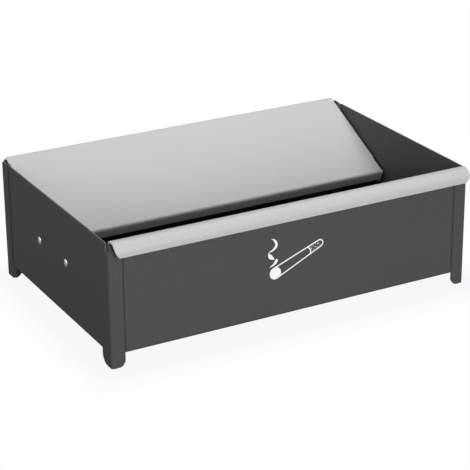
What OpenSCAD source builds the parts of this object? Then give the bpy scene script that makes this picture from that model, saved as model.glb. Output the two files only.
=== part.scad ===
// Ashtray bin: a low folded-steel box on four corner feet.  A light steel flap slopes down
// inside it, swings on two side rivets, and a rolled cap covers the top of the front panel.
// Inside the modules the origin is the front left corner of the box, at the level of the
// ground: X runs to the right, Y to the rear and Z up.  placed() moves that to the centre.

/* [Box] */
// Width over the side panels
body_w = 400; // [340:5:480]
// Depth from the front panel to the rear panel
body_d = 258; // [240:2:320]
// Height of the side panels above the ground
body_h = 126.5; // [118:0.5:150]
// Thickness of the steel sheet
sheet = 1.5; // [1.2:0.1:1.8]
// Outside radius of the corner, bottom and lid bends
bend_r = 3; // [2.4:0.2:4]
// Outside radius of the tight bends at the seams
seam_r = 1.5; // [1.2:0.1:1.8]
// Width of the front corner posts
post_w = 15; // [13:0.5:20]
// Depth of the rear corner posts
rear_post_d = 17; // [15:0.5:22]
// Depth of the folds behind the front seams
seam_fold = 10; // [8:0.5:12]
// Width of the folds and of the feet at the rear posts
rear_fold = 10; // [9:0.5:12]
// Width of the flanges that carry the floor
floor_flange = 12; // [9:0.5:16]
// Depth of the notches in the rear panel's upper corners, along the side
rear_notch_d = 4.5; // [3.5:0.5:6]
// Height of these notches
rear_notch_h = 2; // [1.5:0.5:4]

/* [Feet] */
// Height of the panels above the ground
foot_h = 13.5; // [10:0.5:18]
// Depth of the front feet along the side
foot_d = 20; // [16:1:30]
// Corner radius of the front feet along the side
foot_side_r = 10; // [6:0.5:13]
// Corner radius of the feet across the front
foot_front_r = 7; // [4:0.5:8.5]
// Corner radius of the rear feet
foot_rear_r = 8; // [5:0.5:8.5]

/* [Front cap] */
// Outside radius of the rolled cap
cap_r = 10.2; // [9.8:0.1:11]
// Distance of the roll's centre behind the front face
cap_y = 0.3; // [0:0.1:0.6]
// Height of the roll's top above the side panels
cap_rise = 2.1; // [2:0.1:3]
// Length of the straight part below the roll's centre
cap_drop = 3.5; // [2:0.5:8]
// Distance of the cap's ends from the side faces
cap_inset = 3.2; // [2.6:0.1:5]
// Radius of the curve that takes off the roll's ends
cap_corner_r = 13; // [10:0.5:15]
// Distance below the roll's front edge at which that curve would end
cap_corner_drop = 3.2; // [2:0.2:5]
// Height of the cap's rear leg
cap_leg = 22; // [18:1:28]
// Depth of the notches in the side panels' front corners, below their top edge
cap_notch = 8.5; // [7:0.5:11]
// Space inside the hem along the top of the front panel
hem_gap = 2; // [1.8:0.1:2.4]
// Space between the hem's ends and the side panels
hem_end_gap = 0.3; // [0.2:0.1:1]
// Number of rivets that hold the cap
cap_rivet_n = 5; // [3:1:7]
// Distance of the outer cap rivets from the side faces
cap_rivet_in = 40; // [25:5:60]
// Height of the cap rivets above the lower edge of the leg
cap_rivet_up = 8.4; // [6:0.2:10]

/* [Lid flap] */
// Distance of the flap's front bend behind the front face
lid_front_y = 146; // [140:0.5:152]
// Height of the flap's front bend
lid_front_z = 76.2; // [72:0.2:79]
// Depth of the flap's front lip
lid_lip = 12; // [9:0.5:14]
// Space between the flap and each side panel
lid_side_gap = 2.3; // [2:0.1:4]
// Width of the slots beside the lip
lid_relief = 1; // [0.5:0.5:8]
// Gap between the closed flap and the rear panel
lid_seat_gap = 0.3; // [0.2:0.05:0.5]
// Length of the ear behind the pivot
ear_tail = 9; // [7:0.5:14]
// Depth of the ear below the pivot
ear_skirt = 5; // [4.5:0.5:8]
// Corner radius of the ears and the flap
ear_r = 3.5; // [2:0.5:4.5]

/* [Pivots and stops] */
// Distance of the pivots behind the front face
pivot_y = 163.4; // [161:0.2:170]
// Height of the pivots and the stops
pivot_z = 71.2; // [68:0.2:73]
// Distance of the stops in front of the pivots
stop_reach = 64.2; // [55:0.2:75]
// Diameter of the stop sleeves
stop_d = 8; // [6:0.5:10]
// Length of the stop sleeves
stop_l = 8; // [6:0.5:12]
// Diameter of the rivet shanks
rivet_d = 4; // [3.2:0.2:4.8]
// Thickness of the washers behind the ears
washer_t = 1; // [0.8:0.1:1.5]
// Free play beside each ear
ear_play = 0.3; // [0.2:0.05:0.5]
// Radial clearance of the fixed rivets
rivet_fit = 0.03; // [0.02:0.01:0.05]
// Radial clearance of the flap on its rivets
pivot_fit = 0.08; // [0.05:0.01:0.1]

/* [Pictogram] */
// Distance of the burning end's centre to the left of the middle
sign_x = 24.2; // [0:0.2:80]
// Height of the burning end's centre
sign_z = 59.8; // [50:0.2:64]
// Length between the centres of the two ends
sign_l = 54.2; // [40:0.2:60]
// Radius of the burning end
sign_r = 6.3; // [5:0.1:7]
// Radius of the filter's end
sign_tip_r = 4.2; // [3.5:0.1:5]
// Length of the filter from its band to its end's centre
sign_filter = 11; // [9:0.5:16]
// Slope of the cigarette
sign_slope = 23; // [0:1:30]
// Width of the drawn lines
sign_line = 1.2; // [0.8:0.1:1.6]
// Thickness of the film
sign_t = 0.2; // [0.1:0.05:0.4]

/* [Hidden] */
$fn = 48;
eps = 0.01;

dark_steel = "#4d4d4e";
light_steel = "#c6c7c6";
rivet_metal = "#b9babb";

// Cap: the roll's centre, its foremost point, and the leg that stands behind the hem
cap_z = body_h + cap_rise - cap_r;
cap_front_y = cap_y - cap_r;
cap_low_z = cap_z - cap_drop;
hem_r = sheet + hem_gap / 2;
hem_top = body_h - 2;
hem_inset = sheet + hem_end_gap;
hem_back_y = 2 * hem_r;
cap_back_y = hem_back_y + sheet;
cap_leg_z = body_h - cap_leg;
hem_low_z = cap_leg_z;
cap_rivet_z = cap_leg_z + cap_rivet_up;
cap_rivet_grip = 2 * sheet;
leg_clear = 0.3;
fold_top = cap_leg_z - leg_clear;
notch_z = body_h - cap_notch;
rear_seam_y = body_d - rear_post_d;
floor_z = foot_h + sheet;

// Lid: its rear roll ends above the rear panel, and its plate is tangent to that roll
lid_tip_angle = 15;
lid_roll_y = body_d - bend_r;
lid_roll_z = body_h + lid_seat_gap - (bend_r - sheet) * sin(lid_tip_angle);
lid_dy = lid_roll_y - lid_front_y;
lid_dz = lid_roll_z - lid_front_z;
lid_span = sqrt(lid_dy * lid_dy + lid_dz * lid_dz);
lid_angle = atan2(lid_dz, lid_dy) + asin(bend_r / lid_span);
lid_l = sqrt(lid_span * lid_span - bend_r * bend_r);
lid_edge = sheet + lid_side_gap;

// Pivot and ear in the lid's own plane: u along the plate, w square to it
pivot_u = (pivot_y - lid_front_y) * cos(lid_angle) + (pivot_z - lid_front_z) * sin(lid_angle);
pivot_w = (pivot_z - lid_front_z) * cos(lid_angle) - (pivot_y - lid_front_y) * sin(lid_angle);
ear_l = pivot_u + ear_tail;
ear_low = pivot_w - ear_skirt;
stop_y = pivot_y - stop_reach;

// The rear folds end below the flap's underside at the seam
fold_clear = 4;
rear_fold_top = lid_front_z + (rear_seam_y - sheet - lid_front_y) * tan(lid_angle)
    - sheet / cos(lid_angle) - fold_clear;

// Rivets: what each one grips, from the outer face of the side panel inwards
head_r = rivet_d;
head_t = 0.3 * rivet_d;
tail_r = 0.75 * rivet_d;
tail_t = 0.6 * rivet_d;
mandrel_r = 0.28 * rivet_d;
mandrel_fit = 0.02;
spacer_t = lid_side_gap - ear_play;
washer_x = lid_edge + sheet + ear_play;
washer_r = 1.05 * rivet_d;
pivot_grip = washer_x + washer_t;
stop_grip = sheet + stop_l;

// ---------------------------------------------------------------- helpers

// Moves a piece from the front left corner to the centre of the footprint.
module placed() {
    translate([-body_w / 2, -(body_d + cap_front_y) / 2, 0]) children();
}

// Mirrors a left-hand piece to the right-hand side.
module on_right() {
    translate([body_w, 0, 0]) mirror([1, 0, 0]) children();
}

// Extrudes an outline drawn in Y and Z from x0 to x1.
module along_x(x0, x1) {
    translate([x0, 0, 0]) rotate([90, 0, 90]) linear_extrude(x1 - x0) children();
}

// Extrudes an outline drawn in X and Z from y0 to y1.
module along_y(y0, y1) {
    translate([0, y1, 0]) rotate([90, 0, 0]) linear_extrude(y1 - y0) children();
}

// The sliver that rounds off the corner of a plate at the origin.
module corner_cut(r) {
    difference() {
        translate([-eps, -eps]) square(r + eps);
        translate([r, r]) circle(r);
    }
}

// A rectangle with its own radius at each corner: near left, near right, far right, far left.
module rounded_plate(size, radii) {
    difference() {
        square(size);
        if (radii[0] > 0) corner_cut(radii[0]);
        if (radii[1] > 0) translate([size[0], 0]) mirror([1, 0]) corner_cut(radii[1]);
        if (radii[2] > 0) translate(size) mirror([1, 0]) mirror([0, 1]) corner_cut(radii[2]);
        if (radii[3] > 0) translate([0, size[1]]) mirror([0, 1]) corner_cut(radii[3]);
    }
}

// Sheet bent round the origin between two angles that are up to half a turn apart.
module bend(r, from, to) {
    reach = 2 * r;
    middle = (from + to) / 2;
    intersection() {
        difference() {
            circle(r);
            circle(r - sheet);
        }
        polygon([
            [0, 0],
            [reach * cos(from), reach * sin(from)],
            [reach * cos(middle), reach * sin(middle)],
            [reach * cos(to), reach * sin(to)]
        ]);
    }
}

// A wall's lower edge folded into a flange: the bend starts at the origin, the flange runs right.
module bent_flange(r, length) {
    translate([r, r]) bend(r, 180, 270);
    translate([r, 0]) square([length - r, sheet]);
}

// ---------------------------------------------------------------- panels

// Plan of the left side panel: side, front corner post and a fold at each seam.
module side_plan() {
    difference() {
        rounded_plate([post_w, rear_seam_y], [bend_r, seam_r, 0, seam_r]);
        translate([sheet, sheet])
            rounded_plate([post_w - 2 * sheet, rear_seam_y - 2 * sheet], [bend_r - sheet, 0, 0, 0]);
        translate([rear_fold, seam_fold]) square([post_w, rear_seam_y]);
    }
}

// Side view of a side panel: the wall above the floor bend, and the front foot.
module side_view() {
    translate([0, foot_h + bend_r]) square([rear_seam_y, body_h - foot_h - bend_r]);
    rounded_plate([foot_d, foot_h + 2 * bend_r], [0, foot_side_r, 0, 0]);
}

// Front view of a side panel: the post and its foot.
module post_view() {
    rounded_plate([post_w, body_h], [0, foot_front_r, 0, 0]);
}

module side_panel() {
    difference() {
        union() {
            intersection() {
                linear_extrude(body_h) side_plan();
                along_x(0, post_w) side_view();
                along_y(0, rear_seam_y) post_view();
            }
            along_y(foot_d, rear_seam_y - sheet)
                translate([0, foot_h]) bent_flange(bend_r, floor_flange);
        }
        // the folds end above the feet and below the cap's rear leg
        translate([bend_r, bend_r, -eps]) cube([post_w, foot_d, foot_h + eps]);
        translate([bend_r, sheet, fold_top]) cube([post_w, seam_fold, body_h]);
        translate([bend_r, rear_seam_y - bend_r, rear_fold_top]) cube([rear_fold, bend_r + eps, body_h]);
        // the cap and the hem pass over the post
        translate([-eps, -eps, notch_z]) cube([post_w + 2 * eps, cap_back_y + eps, cap_notch + eps]);
        for (y = [pivot_y, stop_y]) rivet_hole(y);
    }
}

// The hole of a fixed rivet through the left side panel.
module rivet_hole(y) {
    translate([-eps, y, pivot_z]) rotate([0, 90, 0])
        cylinder(r = rivet_d / 2 + rivet_fit, h = sheet + 2 * eps);
}

module left_side_panel() {
    color(dark_steel) placed() side_panel();
}

module right_side_panel() {
    color(dark_steel) placed() on_right() side_panel();
}

// Places of the cap's rivets across the front.
function cap_rivet_xs() = let (step = (body_w - 2 * cap_rivet_in) / (cap_rivet_n - 1))
    [for (i = [0 : cap_rivet_n - 1]) cap_rivet_in + i * step];

// A bore along Y through the hem's rear leg and the cap's rear leg.
module cap_bores() {
    for (x = cap_rivet_xs())
        translate([x, hem_back_y - sheet - eps, cap_rivet_z]) rotate([-90, 0, 0])
            cylinder(r = rivet_d / 2 + rivet_fit, h = cap_rivet_grip + 2 * eps);
}

// Plan of the front panel: the panel between the posts with a fold at each seam.
module front_plan() {
    inner_w = body_w - 2 * post_w;
    difference() {
        rounded_plate([inner_w, seam_fold], [seam_r, seam_r, 0, 0]);
        translate([sheet, sheet]) square([inner_w - 2 * sheet, seam_fold]);
    }
}

// Section of the hem over the front panel and the posts: a half round and its rear leg.
module hem_section() {
    translate([hem_r, hem_top - hem_r]) bend(hem_r, 0, 180);
    translate([hem_back_y - sheet, hem_low_z]) square([sheet, hem_top - hem_r - hem_low_z]);
}

module front_panel() {
    color(dark_steel) placed() difference() {
        union() {
            difference() {
                translate([post_w, 0, foot_h + bend_r])
                    linear_extrude(hem_top - hem_r - foot_h - bend_r) front_plan();
                translate([0, sheet, fold_top]) cube([body_w, seam_fold, body_h]);
            }
            along_x(hem_inset, body_w - hem_inset) {
                hem_section();
                translate([0, notch_z + leg_clear])
                    square([sheet, hem_top - hem_r - notch_z - leg_clear]);
            }
            along_x(post_w, body_w - post_w)
                translate([0, foot_h]) bent_flange(bend_r, floor_flange);
        }
        cap_bores();
    }
}

// Plan of the rear panel: the rear wall, two corner posts and a fold at each seam.
module rear_plan() {
    difference() {
        rounded_plate([body_w, rear_post_d], [seam_r, seam_r, bend_r, bend_r]);
        translate([sheet, sheet])
            rounded_plate([body_w - 2 * sheet, rear_post_d - 2 * sheet],
                          [0, 0, bend_r - sheet, bend_r - sheet]);
        translate([rear_fold, -eps]) square([body_w - 2 * rear_fold, 2 * sheet]);
    }
}

// Front view of the rear panel: the wall above the floor bend, and the two feet.
module rear_view() {
    translate([0, foot_h + bend_r]) square([body_w, body_h - foot_h - bend_r]);
    leg = [rear_fold, foot_h + 2 * bend_r];
    rounded_plate(leg, [0, foot_rear_r, 0, 0]);
    translate([body_w, 0]) mirror([1, 0]) rounded_plate(leg, [0, foot_rear_r, 0, 0]);
}

module rear_panel() {
    color(dark_steel) placed() {
        difference() {
            intersection() {
                translate([0, rear_seam_y, 0]) linear_extrude(body_h) rear_plan();
                along_y(rear_seam_y, body_d) rear_view();
            }
            translate([bend_r, rear_seam_y - eps, rear_fold_top])
                cube([body_w - 2 * bend_r, bend_r, body_h]);
            for (x = [-eps, body_w - bend_r])
                translate([x, body_d - rear_notch_d, body_h - rear_notch_h])
                    cube([bend_r + eps, rear_notch_d + eps, rear_notch_h + eps]);
        }
        translate([0, body_d, 0]) mirror([0, 1, 0]) along_x(rear_fold, body_w - rear_fold)
            translate([0, foot_h]) bent_flange(bend_r, floor_flange);
    }
}

// The floor lies on the flanges of the four panels, notched around the corner posts.
module floor_plate() {
    notch_gap = 0.3;
    front_notch = [post_w + sheet + notch_gap, seam_fold + notch_gap];
    rear_notch = [rear_fold + notch_gap, rear_post_d + sheet + notch_gap];
    color(dark_steel) placed() translate([0, 0, floor_z]) linear_extrude(sheet)
        difference() {
            translate([bend_r, bend_r]) square([body_w - 2 * bend_r, body_d - 2 * bend_r]);
            for (side = [0, 1]) translate([side * body_w, 0]) mirror([side, 0]) {
                square(front_notch);
                translate([0, body_d - rear_notch[1]]) square(rear_notch);
            }
        }
}

// ---------------------------------------------------------------- front cap

// Section of the roll: the crest over the hem and the straight front edge below it.
module roll_section(r, back_y) {
    intersection() {
        union() {
            translate([cap_y, cap_z]) circle(r, $fn = 96);
            translate([cap_y - r, cap_low_z - eps]) square([back_y - cap_y + r, cap_drop + eps]);
        }
        translate([cap_y - r, cap_low_z - eps]) square([back_y - cap_y + r, cap_drop + r + 1]);
    }
}

module front_cap() {
    roll_w = body_w - 2 * cap_inset;
    corner_z = cap_low_z - cap_corner_drop;
    color(light_steel) placed() difference() {
        union() {
            intersection() {
                along_x(cap_inset, body_w - cap_inset) difference() {
                    roll_section(cap_r, cap_back_y);
                    roll_section(cap_r - sheet, cap_back_y - sheet);
                }
                along_y(cap_front_y - 1, cap_back_y + 1) translate([cap_inset, corner_z])
                    rounded_plate([roll_w, body_h + cap_rise + 1 - corner_z],
                                  [cap_corner_r, cap_corner_r, 0, 0]);
            }
            translate([cap_inset, cap_back_y - sheet, cap_leg_z])
                cube([roll_w, sheet, corner_z + cap_corner_r - cap_leg_z]);
        }
        cap_bores();
    }
}

// ---------------------------------------------------------------- lid flap

// Section of the flap in its own plane: lip, front bend, plate and the roll at the rear.
module lid_section() {
    translate([0, -lid_lip]) square([sheet, lid_lip - bend_r]);
    translate([bend_r, -bend_r]) bend(bend_r, 90, 180);
    translate([bend_r, -sheet]) square([lid_l - bend_r, sheet]);
    translate([lid_l, -bend_r]) bend(bend_r, lid_tip_angle - lid_angle, 90);
}

// An ear at the end of the lip, folded down from the plate, with the pivot's hole.
module ear_outline() {
    difference() {
        translate([0, ear_low])
            rounded_plate([ear_l, -ear_low - sheet / 2], [ear_r, ear_r, 0, bend_r - sheet / 2]);
        translate([pivot_u, pivot_w]) circle(rivet_d / 2 + pivot_fit);
    }
}

module lid_flap() {
    lid_w = body_w - 2 * lid_edge;
    color(light_steel) placed()
        translate([lid_edge, lid_front_y, lid_front_z]) rotate([lid_angle, 0, 0]) {
            intersection() {
                along_x(0, lid_w) lid_section();
                translate([0, -eps, -lid_lip - 1]) linear_extrude(lid_lip + 2)
                    rounded_plate([lid_w, lid_l + bend_r + 2 * eps], [0, 0, ear_r, ear_r]);
                union() {
                    translate([sheet + lid_relief, -1, -lid_lip - 1])
                        cube([lid_w - 2 * (sheet + lid_relief), bend_r + 1, lid_lip + 2]);
                    translate([0, -1, -bend_r]) cube([lid_w, lid_l + bend_r + 2, bend_r + 1]);
                    translate([0, bend_r, -2 * bend_r]) cube([lid_w, lid_l + 1, 2 * bend_r + 1]);
                }
            }
            for (x = [0, lid_w - sheet]) along_x(x, x + sheet) ear_outline();
        }
}

// ---------------------------------------------------------------- rivets and stops

// A blind rivet: domed head below z = 0, hollow shank of the given grip, and the upset tail.
module blind_rivet(grip) {
    dome_r = (head_r * head_r + head_t * head_t) / (2 * head_t);
    difference() {
        union() {
            intersection() {
                translate([0, 0, dome_r - head_t]) sphere(dome_r);
                translate([0, 0, -head_t]) cylinder(r = head_r, h = head_t);
            }
            cylinder(r = rivet_d / 2, h = grip + eps);
            translate([0, 0, grip]) cylinder(r = tail_r, h = tail_t);
        }
        translate([0, 0, -head_t - eps]) cylinder(r = mandrel_r, h = head_t + grip + tail_t);
    }
}

// The end of the mandrel that stays in a blind rivet, a little below the head.
module mandrel(grip) {
    cylinder(r = mandrel_r - mandrel_fit, h = grip + tail_t - 4 * mandrel_fit);
}

module ring(outer_r, inner_r, h) {
    difference() {
        cylinder(r = outer_r, h = h);
        translate([0, 0, -eps]) cylinder(r = inner_r, h = h + 2 * eps);
    }
}

// Places a piece drawn along Z on a side rivet's axis, x inwards from the left side face.
module on_side(x, y) {
    translate([x, y, pivot_z]) rotate([0, 90, 0]) children();
}

// Places a piece drawn along Z on the cap rivets' axes, from the rear face forwards.
module on_cap() {
    for (x = cap_rivet_xs())
        translate([x, cap_back_y, cap_rivet_z]) rotate([90, 0, 0]) children();
}

module pivot_spacer() {
    on_side(sheet, pivot_y) ring(washer_r, rivet_d / 2 + rivet_fit, spacer_t);
}

module pivot_washer() {
    on_side(washer_x, pivot_y) ring(washer_r, rivet_d / 2 + rivet_fit, washer_t);
}

module stop_sleeve() {
    on_side(sheet, stop_y) ring(stop_d / 2, rivet_d / 2 + rivet_fit, stop_l);
}

module left_pivot_rivet() {
    color(rivet_metal) placed() on_side(0, pivot_y) blind_rivet(pivot_grip);
}

module right_pivot_rivet() {
    color(rivet_metal) placed() on_right() on_side(0, pivot_y) blind_rivet(pivot_grip);
}

module left_pivot_spacer() {
    color("white") placed() pivot_spacer();
}

module right_pivot_spacer() {
    color("white") placed() on_right() pivot_spacer();
}

module left_pivot_washer() {
    color(rivet_metal) placed() pivot_washer();
}

module right_pivot_washer() {
    color(rivet_metal) placed() on_right() pivot_washer();
}

module left_stop_rivet() {
    color(rivet_metal) placed() on_side(0, stop_y) blind_rivet(stop_grip);
}

module right_stop_rivet() {
    color(rivet_metal) placed() on_right() on_side(0, stop_y) blind_rivet(stop_grip);
}

module left_stop_sleeve() {
    color("#202020") placed() stop_sleeve();
}

module right_stop_sleeve() {
    color("#202020") placed() on_right() stop_sleeve();
}

// The tails of these rivets lie in the hem's space, so they are cut to fit it.
module cap_rivets() {
    color(rivet_metal) placed() on_cap() difference() {
        blind_rivet(cap_rivet_grip);
        translate([-rivet_d, -rivet_d, cap_rivet_grip + hem_gap - leg_clear])
            cube([2 * rivet_d, 2 * rivet_d, tail_t]);
    }
}

module rivet_mandrels() {
    color("#6f7072") placed() {
        for (side = [0, 1]) translate([side * body_w, 0, 0]) mirror([side, 0, 0]) {
            on_side(0, pivot_y) mandrel(pivot_grip);
            on_side(0, stop_y) mandrel(stop_grip);
        }
        on_cap() mandrel(cap_rivet_grip - 1);
    }
}

// ---------------------------------------------------------------- pictogram

// Points of an arc round a centre from one angle to another.
function arc(centre, r, from, to) = let (n = 24)
    [for (i = [0 : n]) let (a = from + (to - from) * i / n) centre + r * [cos(a), sin(a)]];

// A cigarette along +X from the burning end's centre: its outline, the line around its inside,
// and the two windows on either side of the filter's band.
module cigarette() {
    lean = acos((sign_r - sign_tip_r) / sign_l);
    inner_r = sign_r - sign_line;
    tip_r = sign_tip_r - sign_line;
    filter_x = sign_l - sign_filter;
    band_r = inner_r - filter_x * cos(lean) + sign_line;
    band_x = filter_x - band_r - sign_line;
    end_a = lean - acos(inner_r / sign_r);
    near_a = lean - acos((inner_r - band_x * cos(lean)) / band_r);
    far_a = lean - acos((inner_r - band_x * cos(lean)) / (band_r + sign_line));
    difference() {
        polygon(concat(arc([0, 0], sign_r, lean, 360 - lean), arc([sign_l, 0], sign_tip_r, -lean, lean)));
        polygon(concat(arc([0, 0], sign_r, end_a, -end_a), arc([band_x, 0], band_r, -near_a, near_a)));
        polygon(concat(arc([band_x, 0], band_r + sign_line, far_a, -far_a),
                       arc([sign_l, 0], tip_r, -lean, lean)));
    }
    filter_specks(filter_x, tip_r);
}

// Specks of the filter's paper, scattered by turning through a fixed angle for each one.
module filter_specks(from_x, window_r) {
    speck_n = 11;
    speck_r = 0.375 * sign_line;
    turn = 137;
    margin = speck_r + sign_line / 3;
    for (i = [0 : speck_n - 1])
        translate([from_x + margin + i * sign_filter / speck_n, (window_r - margin) * sin(i * turn)])
            circle(speck_r, $fn = 8);
}

// A smooth curve through rows of numbers, at row u.
function on_curve(rows, u) = let (
    last = len(rows) - 1,
    i = min(floor(u), last - 1),
    t = u - i,
    a = rows[max(i - 1, 0)],
    b = rows[i],
    c = rows[i + 1],
    d = rows[min(i + 2, last)]
) b + t * (c - a) / 2 + t * t * (a - 2.5 * b + 2 * c - d / 2) + t * t * t * (3 * b - a - 3 * c + d) / 2;

// A ribbon along a smooth curve; each row gives a point on it and half the ribbon's width there.
module ribbon(rows) {
    steps = 6 * (len(rows) - 1);
    function edge(i, side) = let (
        u = i / 6,
        p = on_curve(rows, u),
        way = on_curve(rows, min(u + eps, len(rows) - 1)) - on_curve(rows, max(u - eps, 0)),
        across = [way[1], -way[0]] / norm([way[0], way[1]])
    ) [p[0], p[1]] + side * p[2] * across;
    polygon(concat([for (i = [0 : steps]) edge(i, 1)], [for (i = [steps : -1 : 0]) edge(i, -1)]));
}

// Smoke above the burning end, a long plume and a short wisp, in multiples of that end's radius.
module smoke() {
    ribbon(sign_r * [
        [-0.67, 5.81, 0.03], [-0.19, 5.53, 0.14], [0.17, 4.94, 0.21], [0.06, 4.33, 0.2],
        [-0.48, 3.9, 0.14], [-1.14, 3.56, 0.06], [-0.85, 2.88, 0.33], [-0.16, 2.34, 0.05]
    ]);
    ribbon(sign_r * [[0.29, 2.3, 0.18], [0.12, 1.92, 0.23], [-0.32, 1.48, 0.16], [-0.96, 1.21, 0.04]]);
}

module front_pictogram() {
    color("white") placed()
        along_y(-sign_t, 0) translate([body_w / 2 - sign_x, sign_z]) {
            rotate(sign_slope) cigarette();
            smoke();
        }
}

left_side_panel();
right_side_panel();
front_panel();
rear_panel();
floor_plate();
front_cap();
cap_rivets();
lid_flap();
left_pivot_rivet();
right_pivot_rivet();
left_pivot_spacer();
right_pivot_spacer();
left_pivot_washer();
right_pivot_washer();
left_stop_rivet();
right_stop_rivet();
left_stop_sleeve();
right_stop_sleeve();
rivet_mandrels();
front_pictogram();
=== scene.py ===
"""An ashtray bin: a low folded-steel box whose light flap slopes down behind a rolled cap.

Lengths are in millimetres from the front left corner of the box at the level of the ground,
with X to the right, Y to the rear and Z up.  The function in_frame turns them into metres in
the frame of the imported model, which stands in the middle of the footprint.
"""

from __future__ import annotations

import logging
import math
from dataclasses import dataclass, field, replace
from enum import Enum
from typing import Iterable, Sequence

import bpy
import numpy as np
from mathutils import Matrix, Vector


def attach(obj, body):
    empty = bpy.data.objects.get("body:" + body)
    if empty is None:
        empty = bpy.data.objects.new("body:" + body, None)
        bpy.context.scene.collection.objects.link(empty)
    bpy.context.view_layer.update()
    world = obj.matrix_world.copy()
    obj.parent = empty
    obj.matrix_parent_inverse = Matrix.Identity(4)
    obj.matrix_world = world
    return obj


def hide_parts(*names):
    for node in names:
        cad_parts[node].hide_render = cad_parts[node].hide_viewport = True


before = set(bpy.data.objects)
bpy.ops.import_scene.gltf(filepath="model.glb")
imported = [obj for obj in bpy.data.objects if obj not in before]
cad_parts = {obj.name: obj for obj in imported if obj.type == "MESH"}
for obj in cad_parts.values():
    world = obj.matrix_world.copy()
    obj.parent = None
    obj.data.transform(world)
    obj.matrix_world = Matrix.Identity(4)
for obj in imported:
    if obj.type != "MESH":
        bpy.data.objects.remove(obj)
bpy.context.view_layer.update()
LOG = logging.getLogger("ashtray_bin")

Array = np.ndarray
Object = bpy.types.Object
Point = tuple[float, float, float]
Colour = tuple[float, float, float]

WHITE: Colour = (1.0, 1.0, 1.0)
MM_PER_M = 1000.0
NOISE_MEAN = 0.5
RIM = "rim"  # the attribute that marks cut edges
QUARTER = np.radians(np.linspace(90, 0, 9))  # the points of a foot's rounded edge
SMOOTH_CORNER = math.radians(35)  # an outline's corners up to this turn are shaded smooth
SHARP_EDGE = math.radians(40)  # a turned piece's edges beyond this turn are not
TURN_STEPS = 48


# -------- sizes shared by the pieces


@dataclass(frozen=True)
class Box:
    """Sizes that several pieces share."""

    width: float = 400.0
    depth: float = 258.0
    height: float = 126.5
    sheet: float = 1.5
    bend: float = 2.25
    tight_bend: float = 0.85
    seam_bend: float = 1.15
    cut_edge: float = 0.3
    front_post: float = 15.0
    front_fold: float = 10.0
    right_seam_gap: float = 0.18
    rear_post: float = 17.0
    rear_fold: float = 10.0
    rear_fold_stub: float = 3.0
    rear_fold_top: float = 116.5
    rear_seam_gap: float = 1.1
    rear_seam_inner_gap: float = 0.05
    rear_seam_run: float = 0.05
    flange: float = 12.0
    floor_bend_z: float = 16.5
    cap_leg_z: float = 104.5
    cap_leg_gap: float = 0.3
    cap_front: float = 9.9
    cap_back: float = 6.5
    cap_inset: float = 3.2
    notch_z: float = 118.0
    rivet: float = 4.0
    pivot_y: float = 163.4
    pivot_z: float = 71.2

    @property
    def skin(self) -> float:
        """Distance of a panel's middle surface behind its outer face."""
        return self.sheet / 2



    def rear_fold_start(self, outward: int) -> list[Point]:
        """The corners of a rear fold from its shoulder to the panel's edge.

        The seam is open at its mouth and closes behind it.

        Args:
            outward: 1 for the rear panel's side of the seam, -1 for the side panel's.

        Returns:
            The shoulder, the kink before it and the corner of the panel, in this order.
        """
        seam = self.depth - self.rear_post
        mouth = seam + outward * (self.rear_seam_gap + self.skin)
        closed = seam + outward * (self.rear_seam_inner_gap + self.skin)
        bend_end = self.skin + self.seam_bend
        return [
            (self.rear_fold_stub, closed, 0),
            (bend_end + self.rear_seam_run, mouth, 0),
            (self.skin, mouth, self.seam_bend),
        ]

    @property
    def fold_top(self) -> float:
        """Height at which the front folds end, below the cap's rear leg."""
        return self.cap_leg_z - self.cap_leg_gap


BOX = Box()


class Body(Enum):
    """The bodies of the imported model."""

    BOX = "box"
    FLAP = "flap"


class Side(Enum):
    """A side of the box, and the direction from its middle towards that side."""

    LEFT = -1
    RIGHT = 1

    @property
    def word(self) -> str:
        """The side's name as the nodes have it."""
        return self.name.lower()

    @property
    def front_seam(self) -> tuple[float, float]:
        """The bends' radius at the front seam and half the gap there, both smaller on the left."""
        if self is Side.LEFT:
            return BOX.tight_bend, 0.0
        return BOX.seam_bend, BOX.right_seam_gap


def in_frame(points: Array) -> Array:
    """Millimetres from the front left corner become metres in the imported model's frame."""
    middle = np.array([BOX.width / 2, (BOX.depth - BOX.cap_front) / 2, 0.0])
    return (points - middle) / MM_PER_M


# -------- lines and surfaces


def together(*coordinates: object) -> Array:
    """Points with the given coordinates: each is an array or one number, and they broadcast."""
    return np.stack(np.broadcast_arrays(*coordinates), -1)


def unit(vectors: Array) -> Array:
    """The vectors at length 1."""
    return vectors / np.linalg.norm(vectors, axis=-1, keepdims=True)


def bent_line(corners: Sequence[Point], step: float = 9.0) -> Array:
    """A line with its corners rounded off by arcs.

    An arc of radius r that turns through the angle t starts r * tan(t / 2) before the corner;
    its points are the centre plus r times the start direction turned step by step.

    Args:
        corners: The coordinates of each corner and its radius, 0 for a point on a straight run.
        step: The largest angle between two points of an arc, in degrees.

    Returns:
        The points of the line, one in each row.
    """
    data = np.array(corners, float)
    spots, radii = data[:, :2], data[:, 2]
    parts = [spots[:1]]
    for before, spot, after, radius in zip(spots[:-2], spots[1:-1], spots[2:], radii[1:-1]):
        if radius == 0:
            parts.append(spot[None])
            continue
        into, out = unit(spot - before), unit(after - spot)
        turn = math.atan2(into[0] * out[1] - into[1] * out[0], into @ out)
        inward = np.array([-into[1], into[0]]) * np.sign(turn)
        centre = spot - into * radius * math.tan(abs(turn) / 2) + inward * radius
        angle = np.linspace(0, abs(turn), 1 + math.ceil(math.degrees(abs(turn)) / step))[:, None]
        parts.append(centre - radius * (inward * np.cos(angle) - into * np.sin(angle)))
    parts.append(spots[-1:])
    return np.concatenate(parts)


def arc(
    centre: tuple[float, float], radius: float, start: float, end: float, *, steps: int
) -> Array:
    """Points of an arc: the centre plus the radius times the cosine and sine of the angle."""
    angle = np.radians(np.linspace(start, end, steps + 1))
    return np.array(centre) + radius * together(np.cos(angle), np.sin(angle))


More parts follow.
